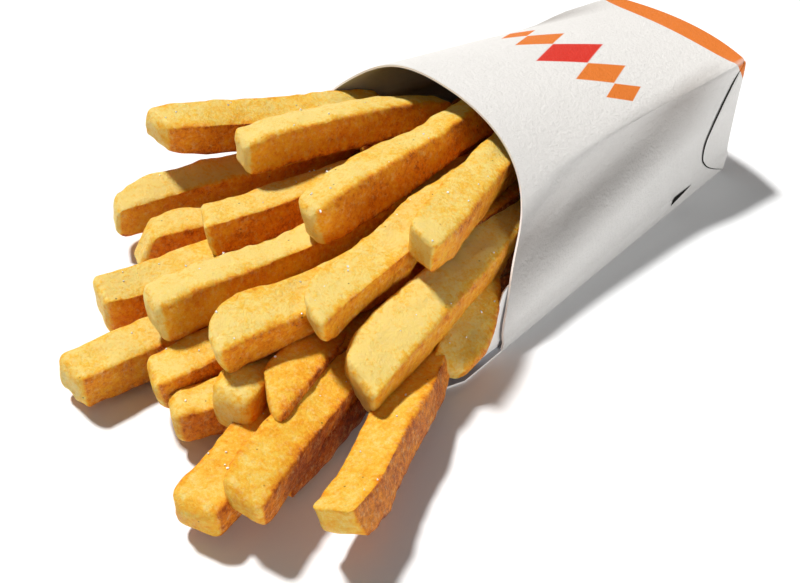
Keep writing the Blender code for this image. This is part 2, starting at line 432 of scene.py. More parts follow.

# %% [markdown]
# Board for food has a white printed face, a plainer inside, and a thin white cut edge that shows
# all round the mouth. Real fibres make the face look like felt when light rakes across it, so
# the relief is a fine noise with a coarser one under it. The print is fields of flat colour: an
# orange band where the front panel meets the base, and a plain row of diamonds. Along the dent
# on the shoulder a soft grey band of painted shade darkens the white face.

# %% Paper materials
WHITE = (0.86, 0.845, 0.825, 1)
SHADE_WHITE = (0.80, 0.785, 0.765, 1)
ORANGE = (0.80, 0.205, 0.022, 1)
RED = (0.72, 0.03, 0.014, 1)
BAND_SLOPE = 0.74
BAND_FOOT = 27.8
BAND_BLUR = 0.5
DIAMOND_Y = 10.5
DIAMOND_FLOOR = 8.0
Diamond = namedtuple("Diamond", "x half_x half_y colour")
DIAMONDS = (
    Diamond(-19.0, 3.2, 6.0, ORANGE),
    Diamond(-11.0, 4.6, 8.6, ORANGE),
    Diamond(0.0, 6.2, 11.6, RED),
    Diamond(11.0, 4.6, 8.6, ORANGE),
    Diamond(19.0, 3.2, 6.0, ORANGE),
)
PRINT_BLUR = 0.14
# Where the soft grey band of painted shade lies on the shoulder, how strong it is and its grey.
BEND_LINE = 1.5
BEND_TOP = 9.0
BEND_REACH = 13.0
BEND_EDGE = 4.0
BEND_BEGIN = 0.12
BEND_FADE = 0.2
SHOULDER_SHADE_STRENGTH = 0.95
SHOULDER_SHADE_GREY = (0.42, 0.39, 0.37, 1)
HIGHLIGHT_WHITE = (0.95, 0.94, 0.92, 1)
HIGHLIGHT_SHARE = 0.7
CLOUD_SIZE = 18.0
PULP_SIZE = 1.4
INK_SIZE = 0.6
FELT_SIZE = 0.8
FELT_LUMP = 1.9
FELT_DEPTH = 0.38


def shade_band_curves():
    """The band of painted shade as curves of the run to the mouth: its height and where its top
    edge is.
    """
    step = np.linspace(0.1, 1.0, 40)
    line, top = (
        front_point(np.radians(dent_turn(step) + off), step) for off in (BEND_LINE, BEND_TOP))
    run = (BASE_Y - line[:, 1]) / SIDE_LENGTH
    return [np.polyfit(run, values, 2).tolist() for values in (line[:, 2], top[:, 0])]


def painted_shoulder_shade(x, y, z):
    """How much painted shade lies on the shoulder, from 0 to 1."""
    run = (BASE_Y - y) / SIDE_LENGTH
    bend_z, bend_x = (run * (run * c + b) + a for c, b, a in shade_band_curves())
    near = (1.0 - (z - bend_z).size() / BEND_REACH).above(0.5, 1.0)
    shaded_share = near * (x.size() - bend_x).above(0.0, BEND_EDGE)
    return shaded_share * run.above(BEND_BEGIN, BEND_FADE) * SHOULDER_SHADE_STRENGTH


def print_fields(paint, colour, x, y, z):
    """The row of diamonds and the band at the base, laid over the colour of the board."""
    for diamond in DIAMONDS:
        along = (x - diamond.x).size() / diamond.half_x
        off = along + (y - DIAMOND_Y).size() / diamond.half_y
        inside = (1.0 - off).above(0.0, PRINT_BLUR / 2) * z.above(DIAMOND_FLOOR, 1.0)
        colour = paint.mix(inside, colour, diamond.colour)
    edge = BASE_Y - (z.least(BASE_HEIGHT) - BAND_FOOT) * BAND_SLOPE
    band = (y - edge).above(0.0, PRINT_BLUR) * z.above(BAND_FOOT - 1.0, BAND_BLUR)
    return paint.mix(band, colour, ORANGE)


def make_board():
    paint = Paint("board_white_face", Specular_IOR_Level=0.35)
    where, (x, y, z) = paint.place()
    pulp = paint.noise(where, PULP_SIZE, 4.0, 0.65)
    cloud = paint.noise(where, CLOUD_SIZE)
    colour = paint.mix((pulp * 0.6 + cloud * 0.4).above(0.5, 0.5), SHADE_WHITE, WHITE)
    colour = print_fields(paint, colour, x, y, z)
    tint = paint.mix(paint.noise(where, INK_SIZE), (0.93, 0.93, 0.93, 1), (1, 1, 1, 1))
    colour = paint.mix(1.0, colour, tint, "MULTIPLY")
    # Painted shade: a soft grey band along the dent on the shoulder.
    colour = paint.mix(painted_shoulder_shade(x, y, z), colour, SHOULDER_SHADE_GREY)
    # Painted highlight: a whiter line along the base crease.
    colour = paint.mix(paint.attribute("crease") * HIGHLIGHT_SHARE, colour, HIGHLIGHT_WHITE)
    felt = paint.noise(where, FELT_SIZE, 5.0, 0.7) + paint.noise(where, FELT_LUMP) * 0.5
    bump = paint.bump(felt, FELT_DEPTH)
    paint.feed(Base_Color=colour, Roughness=0.46 + pulp * 0.25, Normal=bump)
    return paint.material


def make_inside():
    paint = Paint("board_grey_inside", Specular_IOR_Level=0.25)
    where, _ = paint.place()
    fibre = paint.noise(paint.stretch(where, 1.0, 0.35, 1.0), 0.9, 4.0, 0.6)
    colour = paint.mix(fibre, (0.40, 0.44, 0.50, 1), (0.50, 0.54, 0.60, 1))
    bump = paint.bump(fibre, 0.08, 0.5)
    paint.feed(Base_Color=colour, Roughness=0.7 + fibre * 0.2, Normal=bump)
    return paint.material


def make_plain(name, size, low, high, rough, spread, **constants):
    """A material in which one noise of this size moves the colour and the roughness a little."""
    paint = Paint(name, **constants)
    where, _ = paint.place()
    cloud = paint.noise(where, size)
    colour = paint.mix(cloud, (*low, 1), (*high, 1))
    paint.feed(Base_Color=colour, Roughness=rough + cloud * spread)
    return paint.material


board_face = make_board()
board_inside = make_inside()
board_edge = make_plain(
    "board_cut_edge", 0.3, (0.93, 0.925, 0.91), (0.98, 0.975, 0.96), 0.6, 0.2,
    Specular_IOR_Level=0.3)
print("materials:", board_face.name, board_inside.name, board_edge.name)

# %% [markdown]
# The four grids share their border points, so merging doubles turns them into one sheet, exactly
# as the real blank is one sheet. A Solidify modifier then gives it its thickness towards the
# inside, and gives the inner face and the cut edge materials of their own.

# %% The folded shell
# Where the whiter line of painted highlight runs along the base corners.
HIGHLIGHT_NARROWING = 0.78
HIGHLIGHT_INSET = 0.4
HIGHLIGHT_WIDTH = 0.5
HIGHLIGHT_END = 0.28
WELD = 0.004
WAVE_FLOOR = 6.0
WAVE_FROM_BASE = 10.0
WAVE_TO_RIM = 25.0
WAVE_AT_RIM = 0.3
SHARP_FOLD = 32


def crease_highlight(points):
    """Painted highlight along the base corners, a whiter line: 1 on the fold."""
    to_base = (BASE_Y - points[:, 1]) / SIDE_LENGTH
    ridge_x = half_width(to_base * HIGHLIGHT_NARROWING) - HIGHLIGHT_INSET
    near = np.hypot(np.abs(points[:, 0]) - ridge_x, points[:, 2] - BASE_HEIGHT)
    return np.exp(-(near / HIGHLIGHT_WIDTH) ** 2) * (1 - ramp(to_base, HIGHLIGHT_END))


def merge_grids(grids):
    """One bmesh in millimetres from all the grids, with their shared borders welded."""
    work = bmesh.new()
    for grid in grids:
        rows, columns = grid.shape[:2]
        verts = [work.verts.new(point) for point in grid.reshape(-1, 3)]
        for a, b, c, d in grid_faces(rows, columns):
            work.faces.new((verts[a], verts[b], verts[c], verts[d]))
    bmesh.ops.remove_doubles(work, verts=work.verts, dist=WELD)
    bmesh.ops.recalc_face_normals(work, faces=work.faces)
    return work


def wave_points(points, normals):
    """The board's slight waves: none at the floor and the base, weak at the rim."""
    lift = ramp(points[:, 2], WAVE_FLOOR) * ramp(BASE_Y - points[:, 1], WAVE_FROM_BASE)
    calm = np.maximum(ramp(points[:, 1] + SIDE_LENGTH - BASE_Y, WAVE_TO_RIM), WAVE_AT_RIM)
    wave = lumps(points, WAVE_SIZE, 5) * WAVE_DEPTH * lift * calm
    return points + normals * (wave - WAVE_DEPTH)[:, None] * lift[:, None]


def thicken(shell):
    """Give the sheet its thickness on the inside, as real faces."""
    solidify = shell.modifiers.new("board", "SOLIDIFY")
    solidify.thickness = BOARD * MM
    solidify.offset = -1.0
    solidify.use_even_offset = True
    solidify.material_offset = 1
    solidify.material_offset_rim = 2
    graph = bpy.context.evaluated_depsgraph_get()
    shell.data = bpy.data.meshes.new_from_object(shell.evaluated_get(graph))
    shell.modifiers.clear()
    shell.data.shade_smooth()
    shell.data.set_sharp_from_angle(angle=math.radians(SHARP_FOLD))


def make_shell():
    work = merge_grids(grids)
    top = max(work.faces, key=lambda face: face.calc_center_median().z)
    if top.normal.z < 0:
        bmesh.ops.reverse_faces(work, faces=work.faces)
    work.normal_update()
    points = np.array([vert.co for vert in work.verts])
    normals = np.array([vert.normal for vert in work.verts])
    for vert, point in zip(work.verts, wave_points(points, normals)):
        vert.co = Vector(point) * MM
    mesh = bpy.data.meshes.new("carton_board")
    work.to_mesh(mesh)
    work.free()
    # The share of painted highlight along the base crease, read by the face material.
    layer = mesh.attributes.new("crease", "FLOAT", "POINT")
    layer.data.foreach_set("value", crease_highlight(points).astype(np.float32))
    for material in (board_face, board_inside, board_edge):
        mesh.materials.append(material)
    shell = bpy.data.objects.new("carton_board", mesh)
    bpy.context.scene.collection.objects.link(shell)
    thicken(shell)
    return shell


carton = make_shell()
settle(carton, "white_board", "carton")

# %% [markdown]
# At the base the carton is locked by an ear on each side: the end of the base piece, folded round
# the corner and glued on the side. Its edge is a raised step with a gap beside it. The shade in the
# gap and in a small slit is painted as a narrow near-black strip in the shape of the gap, which
# keeps its line crisp. To lie on the ruled side, a point given by its y and z has to find its x
# first.

# %% Finding a place on the side
SEARCH_TURN = 1.15
SEARCH_STEPS = 30


def side_x(y, z):
    """x of the front panel's right side at this y and height, found by halving a range."""
    y, z = np.broadcast_arrays(np.asarray(y, float), np.asarray(z, float))
    low, high = np.zeros(z.shape), np.full(z.shape, CORNER * SEARCH_TURN)
    for _ in range(SEARCH_STEPS):
        turn = (low + high) / 2
        start, end = base_point(turn), rim_point(turn)
        step = (start[..., 1] - y) / (start[..., 1] - end[..., 1])
        height = start[..., 2] + (end[..., 2] - start[..., 2]) * step
        low = np.where(height < z, turn, low)
        high = np.where(height < z, high, turn)
    point = front_point(turn, step)
    return point[..., 0] + score_ridge(point, step)


def along_line(corners, count):
    """Points spread evenly along a broken line of (y, z) corners, its corners a little cut."""
    line = spread_along(np.array(corners, float), count)
    for _ in range(2):
        line[1:-1] = (line[:-2] + 2 * line[1:-1] + line[2:]) / 4
    return line


print("side at mid height:", side_x(20.0, 16.0).round(2))
SIDES = ((1, "right"), (-1, "left"))

# %% Ears, gaps and the locking slit
EAR_LINE = (
    (49.7, 32.4), (46.4, 28.0), (43.2, 23.2), (40.0, 18.6), (37.0, 14.2), (36.4, 11.4), (36.9, 8.9),
    (39.5, 6.2), (44.3, 3.4), (50.0, 0.5))
EAR_STEPS = 60
EAR_COLUMNS = 14
EAR_BUNCH = 0.8
EAR_LIFT = 0.32
EAR_SINK = 0.15
EAR_OVERHANG = 0.1
EAR_WAVE = 0.12
EAR_WAVE_SIZE = 7.0
GAP_WIDTHS = ((0.0, 0.25), (0.25, 0.62), (0.55, 0.55), (0.72, 0.32), (1.0, 0.2))
GAP_ROWS = ((-0.1, 0.10), (0.5, 0.12), (1.0, 0.05))
SLIT = ((22.0, 2.6), (22.4, 4.9), (31.9, 4.6), (27.0, 3.5))
SLIT_RINGS = (0.34, 0.67, 1.0)
SLIT_LIFT = 0.07


def ear_sheet(side):
    """The ear as a closed thin sheet between its free edge and the base corner."""
    edge = along_line(EAR_LINE, EAR_STEPS)
    share = np.linspace(0, 1, EAR_COLUMNS) ** EAR_BUNCH
    y = edge[:, :1] + (BASE_Y + EAR_OVERHANG - edge[:, :1]) * share
    z = np.repeat(edge[:, 1:], EAR_COLUMNS, 1)
    flat = np.stack([y, z, 0 * y], -1).reshape(-1, 3)
    wave = EAR_WAVE * (lumps(flat, EAR_WAVE_SIZE, 9).reshape(y.shape) - np.exp(-share * 9.0))
    x = side_x(y, z)
    sheets = (x + EAR_LIFT + wave, x - EAR_SINK)
    layers = [np.stack([side * sheet, y, z], -1).reshape(-1, 3) for sheet in sheets]
    points = np.concatenate(layers)
    count = EAR_STEPS * EAR_COLUMNS
    faces = grid_faces(EAR_STEPS, EAR_COLUMNS)
    faces += [face[::-1] for face in grid_faces(EAR_STEPS, EAR_COLUMNS, start=count)]
    number = np.arange(count).reshape(EAR_STEPS, EAR_COLUMNS)
    edges = (number[:-1, 0], number[-1, :-1], number[:0:-1, -1], number[0, :0:-1])
    rim = np.concatenate(edges).tolist()
    faces += [(a, b, b + count, a + count) for a, b in zip(rim, rim[1:] + rim[:1])]
    return points, faces


def crisp(piece, degrees):
    """Turn every face outwards and keep the folds above this angle sharp."""
    work = bmesh.new()
    work.from_mesh(piece.data)
    bmesh.ops.recalc_face_normals(work, faces=work.faces)
    work.to_mesh(piece.data)
    work.free()
    piece.data.set_sharp_from_angle(angle=math.radians(degrees))
    return piece


def make_ear(name, side):
    points, faces = ear_sheet(side)
    ear = make_piece(name, points, faces, board_face, {"crease": np.zeros(len(points))})
    return crisp(ear, SHARP_FOLD)


def gap_shade_strip(side):
    """A narrow near-black strip of painted shade just outside the ear's free edge."""
    edge = along_line(EAR_LINE, EAR_STEPS)
    share = np.linspace(0, 1, EAR_STEPS)
    width = np.interp(share, *zip(*GAP_WIDTHS))
    flow = np.gradient(edge, axis=0)
    flow /= np.linalg.norm(flow, axis=1)[:, None]
    away = np.stack([flow[:, 1], -flow[:, 0]], -1)
    rows = []
    for offset, lift in GAP_ROWS:
        y, z = (edge + away * (width * offset)[:, None]).T
        rows.append(np.stack([side * (side_x(y, z) + lift), y, z], -1))
    return np.concatenate(rows), grid_faces(len(rows), EAR_STEPS)


def slit_shade_patch(side):
    """The small wedge of a slit above the score line, painted near-black as its shade."""
    loop = along_line(SLIT + SLIT[:1], 40)[:-1]
    middle = loop.mean(0)
    rings = [middle + (loop - middle) * share for share in SLIT_RINGS]
    y, z = np.concatenate(rings + [[middle]]).T
    points = np.stack([side * (side_x(y, z) + SLIT_LIFT), y, z], -1)
    count = len(loop)
    faces = grid_faces(len(rings), count, closed=True)
    faces += [(j, len(rings) * count, (j + 1) % count) for j in range(count)]
    return points, faces


# Near-black paint for the gap and the slit: painted shade.
gap_shade_paint = make_plain(
    "painted_gap_shade", 1.5, (0.006, 0.005, 0.004), (0.022, 0.019, 0.016), 0.85, 0.1,
    Specular_IOR_Level=0.1)
for side, word in SIDES:
    settle(make_ear("ear_" + word, side), "white_board")
    settle(make_piece("gap_" + word, *gap_shade_strip(side), gap_shade_paint), "white_board")
    settle(make_piece("slit_" + word, *slit_shade_patch(side), gap_shade_paint), "white_board")

# %% [markdown]
# Inside each mouth corner a second layer of board, the glued lap of the side, reaches a little
# past the rim and runs down to the tongue as a thin white point. It is a single small sheet.

# %% Laps in the mouth corners
LAP_STEPS = 20
LAP_TOP = 13.6
LAP_BACK = -34.0
LAP_INSET = 0.9
LAP_THICK = 0.3
LAP_TURN = 0.5
LAP_TURN_Y = -46.0
LAP_TURN_REACH = 10.0
LAP_EDGE = ((13.6, -44.6), (13.0, -46.6), (10.0, -48.9), (7.0, -50.2), (3.0, -54.0), (0.5, -57.4))


def lap_sheet(side):
    z = np.linspace(0.5, LAP_TOP, LAP_STEPS)[:, None]
    heights, fronts = zip(*sorted(LAP_EDGE))
    front = np.interp(z, heights, fronts)
    share = np.linspace(0, 1, LAP_STEPS)[None, :]
    y = LAP_BACK + (front - LAP_BACK) * share
    z = z + 0 * y
    x = side_x(y, z) - BOARD - LAP_INSET - LAP_TURN * ramp(LAP_TURN_Y - y, LAP_TURN_REACH)
    outer = np.stack([side * x, y, z], -1).reshape(-1, 3)
    inner = np.stack([side * (x - LAP_THICK), y, z], -1).reshape(-1, 3)
    count = LAP_STEPS * LAP_STEPS
    faces = grid_faces(LAP_STEPS, LAP_STEPS) + grid_faces(LAP_STEPS, LAP_STEPS, start=count)
    front_edge = range(LAP_STEPS - 1, count, LAP_STEPS)
    top_edge = range(count - LAP_STEPS, count)
    for line in (front_edge, top_edge):
        faces += [(a, b, b + count, a + count) for a, b in zip(line, line[1:])]
    return np.concatenate([outer, inner]), faces


for side, word in SIDES:
    lap = make_piece("lap_" + word, *lap_sheet(side), board_edge)
    settle(crisp(lap, SHARP_FOLD), "white_board")

# %% [markdown]
# A fry is a stick cut from a potato: four flat faces, crisp edges that fry darker, and ends that
# are sliced at a slant. It could be a bevelled box, but the edges would be too even. Here each
# fry is a closed tube of rings: a square section with rounded corners, pushed along a gently
# bent line, with flat slanted ends that are rounded over, and then roughened with the noise.
# The rows hold the same fries as the CAD model's bars, in the same order, and follow the photo
# more closely.

# %% Fry places and looks
Fry = namedtuple(
    "Fry", "x y z bearing rise length width depth roll bow sag lean_side lean_up taper tone")
TOP_ROW = (
    Fry(-40, -86, 25.4, -10, 6, 62, 12, 9.5, -10, 1, 0.5, -0.3, 0.1, 0.30, 0.16),
    Fry(-18.3, -75.5, 27.2, -4, 5, 59, 11.5, 9.5, 3, -1, 1.5, 0.1, 0.1, 0.10, 0.02),
    Fry(14, -79.2, 27, 11, -1, 75, 11, 11, 8, 0, 1, 0.3, 0.2, 0.35, 0.10),
    Fry(38.4, -68.8, 30, 26, 4, 78, 11, 11, -12, 0, 0, 0.4, 0.3, 0.30, 0.10),
    Fry(51.8, -93.2, 13.8, 22, -2, 89, 12, 10.5, -12, 0, 1, 0.5, 0.3, 0.20, 0.00),
)
MIDDLE_ROW = (
    Fry(-36, -101, 10.4, -3, 1, 76, 10.5, 10, -10, 0, 0, 0.2, 0.0, 0.40, 0.00),
    Fry(-8.2, -91.8, 17.2, -2, 1, 80, 11, 10.5, 4, 1, 0, 0.4, 0.2, 0.10, 0.14),
    Fry(12, -115, 18, 3, 0, 98, 11, 10.5, 6, 1, 0, 0.15, 0.1, 0.20, 0.00),
    Fry(30.6, -112.2, 20.8, 2, 0, 50, 13, 9, -10, 0, 0, 0.25, 0.3, 0.50, 0.10),
    Fry(38.8, -95.4, 24.4, 20, 2, 76, 12, 8.5, -10, 0, 1, 0.5, 0.4, 0.40, 0.04),
    Fry(29, -56, 17, 13, -3, 56, 7, 9, 0, 0, 0, 0, 0, 0.20, 0.60),
    Fry(51.2, -69.0, 6.4, 35, -8, 36, 11.5, 7.5, -22, 0, 0, -0.1, 0.1, 0.35, 0.16),
)
LOWER_ROW = (
    Fry(-22, -101.5, 9.5, -13, 0, 73, 10, 10, 0, 0, 0, 0.1, -0.5, 0.20, 0.14),
    Fry(-8, -118, 9, -3, 0, 90, 11, 10.5, -6, 0, 0, 0.1, 0.1, 0.15, 0.14),
    Fry(45.2, -109.4, 12.8, 28, 0, 64, 10.5, 9, -8, 0, 0, 1.1, 0.6, 0.20, 0.42),
    Fry(40.2, -113.8, 11.2, 33, 0, 56, 9.5, 10.5, 0, 0, 0, 0.2, 0, 0.10, 0.20),
    Fry(38, -92, 11, 19, -1, 68, 10, 10, 0, 0, 0, 0, 0, 0.20, 0.60),
    Fry(61.4, -124.4, 10.5, 29, 0, 78, 11.5, 9.5, -6, 0, 0, 0.2, 0.3, 0.20, 0.36),
)
FLOOR_ROW = (
    Fry(9, -133.5, 6.4, 4, 0, 96, 11, 10, -4, 0, 0, 0, 0, 0.10, 0.12),
    Fry(22, -121.3, 9.3, 0, 0, 69, 11, 9, 0, 0, 0, 0.3, 0.2, 0.10, 0.22),
    Fry(30, -121, 7.2, -14, 0, 39, 10, 9, 0, 0, 0, 0.2, 0.1, 0.10, 0.26),
    Fry(55.3, -130.6, 6.3, 27, 0, 75, 12, 9, 0, 0, 0, 0, 0.1, 0.10, 0.32),
    Fry(55, -113.8, 6, 23, 0, 60, 9.5, 9, 0, 0, 0, 0.2, 0, 0.20, 0.50),
    Fry(74.8, -113.8, 12, 33, 5, 57, 11, 9.5, 16, 1.5, -1, 0.1, 0.3, 0.10, 0.28),
)

# %% One section and one profile
AROUND = 72
RING_STEP = 0.72
CAP_SHARES = (0.03, 0.22, 0.42, 0.62, 0.80, 0.92)
ROUND_STEPS = 5
EDGE_POWER = 7.0
SECTION_TURNS = 4001


def even_section(power, count):
    """Points spread evenly round a square with rounded corners, from -1 to 1 each way."""
    line = boxy_circle(np.linspace(0, 2 * math.pi, SECTION_TURNS), power)
    return spread_along(line, count, endpoint=False)


def end_rings(round_off, half):
    """Distance behind the end, share of the section and edge wear for the rings of an end."""
    flat = 1 - round_off / half
    rings = [(0.0, flat * share, 0.0) for share in CAP_SHARES]
    for i in range(ROUND_STEPS):
        turn = math.pi / 2 * i / ROUND_STEPS
        inset = round_off * (1 - math.sin(turn))
        wear = math.sin(2 * turn) ** 0.5
        rings.append((round_off * (1 - math.cos(turn)), 1 - inset / half, wear))
    return rings


def fry_profile(length, round_off, half, ring_step):
    """Rings from the tip to the heel: place along the fry, share of the section, edge wear."""
    tip = end_rings(round_off, half)
    count = max(4, round((length - 2 * round_off) / ring_step))
    body = [(d, 1.0, 0.0) for d in np.linspace(round_off, length - round_off, count)]
    heel = [(length - d, share, wear) for d, share, wear in reversed(tip)]
    return np.array(tip + body + heel)


print("rings in a 90 mm fry:", len(fry_profile(90, 1.5, 5.5, RING_STEP)))

# %% Building a fry
Mesh = namedtuple("Mesh", "points faces numbers")
LEAN_REACH = 13.0
CUT_BACK = 0.5
TAPER_REACH = 15.0
THICK_TIP = 1.05
THIN_HEEL = 0.24
PINCH_HEEL = 0.1
GIRTH_WAVE = 0.05
WOBBLE = 0.5
POWER_DRAW = (0.85, 1.25)
ROUND_DRAW = (2.0, 3.0)
TWIST_DRAW = (-9, 9)
HEEL_DRAW = (-0.3, 0.3)
# Browner on the right side and below than on the left and the top: partly the crust's own colour,
# partly painted shade.
SHADE_BROWN_RIGHT, SHADE_BROWN_LEFT, SHADE_BROWN_BELOW, BROWN_END = 0.40, 0.18, 0.46, 0.08
EDGE_FROM, EDGE_BLUR = 0.5, 0.25
END_FROM, END_BLUR = 0.97, 0.08
TIP_REACH = 9.0
TIP_MIDDLE = 0.6


def fry_axes(fry):
    bearing, rise, roll = np.radians((fry.bearing, fry.rise, fry.roll))
    flat = np.cos(rise)
    outward = np.array((np.sin(bearing) * flat, -np.cos(bearing) * flat, np.sin(rise)))
    side = np.array((np.cos(bearing), np.sin(bearing), 0.0))
    return outward, side, np.cross(side, -outward), roll


def near_end(distance, reach):
    """1 at an end of the fry, falling to 0 at this reach from it."""
    return np.clip(1 - distance / reach, 0, 1)


def fry_line(fry, away, near_tip, draw):
    """The bent middle line, and at each ring the directions out, across and over."""
    outward, side, up, roll = fry_axes(fry)
    place = away / fry.length
    bend = 4 * place * (1 - place)
    wobble = draw.uniform(-1, 1, (2, 3)) * WOBBLE
    twist = roll + np.radians(draw.uniform(*TWIST_DRAW)) * place
    drift, rock = (
        sum(w * np.sin((i + 2) * math.pi * place) for i, w in enumerate(row)) for row in wobble)
    one_sided = np.sign(fry.lean_side) * fry.taper * fry.width / 4 * near_tip
    middle = np.array((fry.x, fry.y, fry.z)) - np.outer(away, outward)
    middle += np.outer(fry.bow * bend + drift + one_sided, side)
    middle += np.outer(fry.sag * bend + rock * 0.6, up)
    across = np.outer(np.cos(twist), side) + np.outer(np.sin(twist), up)
    over = np.outer(np.cos(twist), up) - np.outer(np.sin(twist), side)
    return middle, outward, across[:, None], over[:, None]


def fry_faces(rings, around):
    """Faces of the tube and of its two ends, which close on two extra middle points."""
    faces = grid_faces(rings, around, closed=True)
    last = (rings - 1) * around
    faces += [(rings * around, (j + 1) % around, j) for j in range(around)]
    faces += [(rings * around + 1, last + j, last + (j + 1) % around) for j in range(around)]
    return [face[::-1] for face in faces]


def build_fry(fry, seed, around=AROUND, ring_step=RING_STEP):
    """Points, faces and vertex numbers of one fry, in millimetres."""
    draw = np.random.default_rng(seed)
    section = even_section(EDGE_POWER * draw.uniform(*POWER_DRAW), around)
    round_off = draw.uniform(*ROUND_DRAW)
    half = min(fry.width, fry.depth) / 2
    away, share, wear = fry_profile(fry.length, round_off, half, ring_step).T
    to_heel = fry.length - away
    near_tip = near_end(away, TAPER_REACH) ** 2
    middle, outward, across, over = fry_line(fry, away, near_tip, draw)
    place = away / fry.length
    girth = THICK_TIP - THIN_HEEL * place - PINCH_HEEL * near_end(to_heel, TAPER_REACH) ** 2
    girth += GIRTH_WAVE * np.sin(draw.uniform(4, 9) * place + draw.uniform(0, 6))
    a = np.outer(fry.width / 2 * share * (girth - fry.taper * near_tip), section[:, 0])
    b = np.outer(fry.depth / 2 * share * (girth - 0.5 * fry.taper * near_tip), section[:, 1])
    at_tip, at_heel = (near_end(d, LEAN_REACH)[:, None] for d in (away, to_heel))
    slant = at_tip * (fry.lean_side * a + fry.lean_up * b)
    slant -= at_heel * (draw.uniform(*HEEL_DRAW) * a + draw.uniform(*HEEL_DRAW) * b)
    slant -= at_tip * slant.max() * CUT_BACK
    points = middle[:, None] + a[..., None] * across + b[..., None] * over
    points = points + slant[..., None] * outward
    flat = np.concatenate([points.reshape(-1, 3), [points[0].mean(0), points[-1].mean(0)]])
    return Mesh(flat, fry_faces(len(away), around), fry_numbers(fry, section, share, wear, away))


def fry_numbers(fry, section, share, wear, away):
    """What the material reads: how browned each face is, with painted shade on the right side and
    underside, its edges and its pale tips.
    """
    lean = np.sign(section) * np.abs(section) ** (EDGE_POWER - 1)
    lean /= np.linalg.norm(lean, axis=1)[:, None]
    brown = SHADE_BROWN_RIGHT * np.maximum(lean[:, 0], 0) + SHADE_BROWN_LEFT * np.maximum(-lean[:, 0], 0)
    brown += SHADE_BROWN_BELOW * np.maximum(-lean[:, 1], 0)
    corner = ramp(np.abs(section[:, 0] * section[:, 1]) - EDGE_FROM, EDGE_BLUR)
    at_end = ramp(END_FROM - share, END_BLUR)
    even = np.ones(len(section))
    body = np.outer(1 - at_end, brown) + np.outer(at_end * BROWN_END, even)
    edge = np.maximum(np.outer(1 - at_end, corner), wear[:, None])
    tip = np.outer(np.exp(-away / TIP_REACH), even)
    numbers = {"brown": body, "edge": edge, "tip": tip, "tone": np.full(edge.shape, fry.tone)}
    ends = {"brown": BROWN_END, "edge": 0.0, "tip": TIP_MIDDLE, "tone": fry.tone}
    return {k: np.concatenate([v.ravel(), [ends[k]] * 2]) for k, v in numbers.items()}


sample = build_fry(TOP_ROW[0], 1)
print("points in one fry:", len(sample.points))

# %% [markdown]
# Frying puffs the faces, sinks them between the edges and raises small blisters. Displacing along
# the surface's own direction does that. The big lumps bend the faces, the middle ones blister
# them, and an extra share near the edges makes the edges ragged, which a bevel never is.

# %% Roughening
Layer = namedtuple("Layer", "size depth")
FRY_LAYERS = (Layer(14.0, 0.75), Layer(4.6, 0.26), Layer(2.0, 0.09), Layer(1.3, 0.05))
RAGGED = Layer(2.4, 0.25)
RAGGED_LEVEL = 0.4
BLISTER = Layer(2.6, 0.3)
BLISTER_LEVEL = 0.45
SHRINK = 0.3


def vertex_normals(points, faces):
    """Directions of the surface at its points, from the faces around them."""
    total = np.zeros_like(points)
    quads = np.array([f if len(f) == 4 else (*f, f[2]) for f in faces])
    a, b, c, d = (points[quads[:, k]] for k in range(4))
    cross = np.cross(c - a, d - b)
    for k in range(4):
        np.add.at(total, quads[:, k], cross)
    return total / np.maximum(np.linalg.norm(total, axis=1), 1e-9)[:, None]


def roughen(made, seed):
    """Push the points of a fry in and out."""
    points = made.points
    push = np.full(len(points), -SHRINK * sum(layer.depth for layer in FRY_LAYERS))
    for k, layer in enumerate(FRY_LAYERS):
        push += layer.depth * lumps(points, layer.size, seed * 7 + k)
    ragged = lumps(points, RAGGED.size, seed * 7 + 5) - RAGGED_LEVEL
    push += made.numbers["edge"] * RAGGED.depth * ragged
    blister = lumps(points, BLISTER.size, seed * 7 + 6) - BLISTER_LEVEL
    push += np.maximum(blister, 0) * BLISTER.depth
    normals = vertex_normals(points, made.faces)
    return Mesh(points + normals * push[:, None], made.faces, made.numbers)


rough = roughen(sample, 1)
print("one fry roughened, mean shift mm:", np.abs(rough.points - sample.points).mean().round(3))

# %% [markdown]
# The colour of a fry goes from cream where it stayed soft, through yellow and gold, to orange
# brown on the edges and on the sides; the right sides and undersides are made browner still, as
# painted shade. One ramp holds that whole scale, and everything else only decides how far along
# the ramp each spot is: the fry's own tone, the face it is on, its edges, its tip, and patches of
# noise. Pale flecks and dark specks go on top.

# %% Potato material
CRUST = (
    (0.00, (0.980, 0.720, 0.210)),
    (0.16, (0.975, 0.580, 0.065)),
    (0.34, (0.950, 0.430, 0.016)),
    (0.55, (0.840, 0.260, 0.006)),
    (0.76, (0.500, 0.105, 0.004)),
    (1.00, (0.200, 0.032, 0.003)),
)
PATCH_SIZE = 7.5
MOTTLE_SIZE = 2.3
GRAIN_SIZE = 0.8
GRAIN_DEPTH = 0.65
FLECK_SIZE = 1.25
FLECK = (0.97, 0.78, 0.36, 1)
SPECK = (0.16, 0.045, 0.01, 1)
SPECK_CELL = 2.6
SPECK_RADIUS = 0.085
SPECK_CHANCE = 0.74


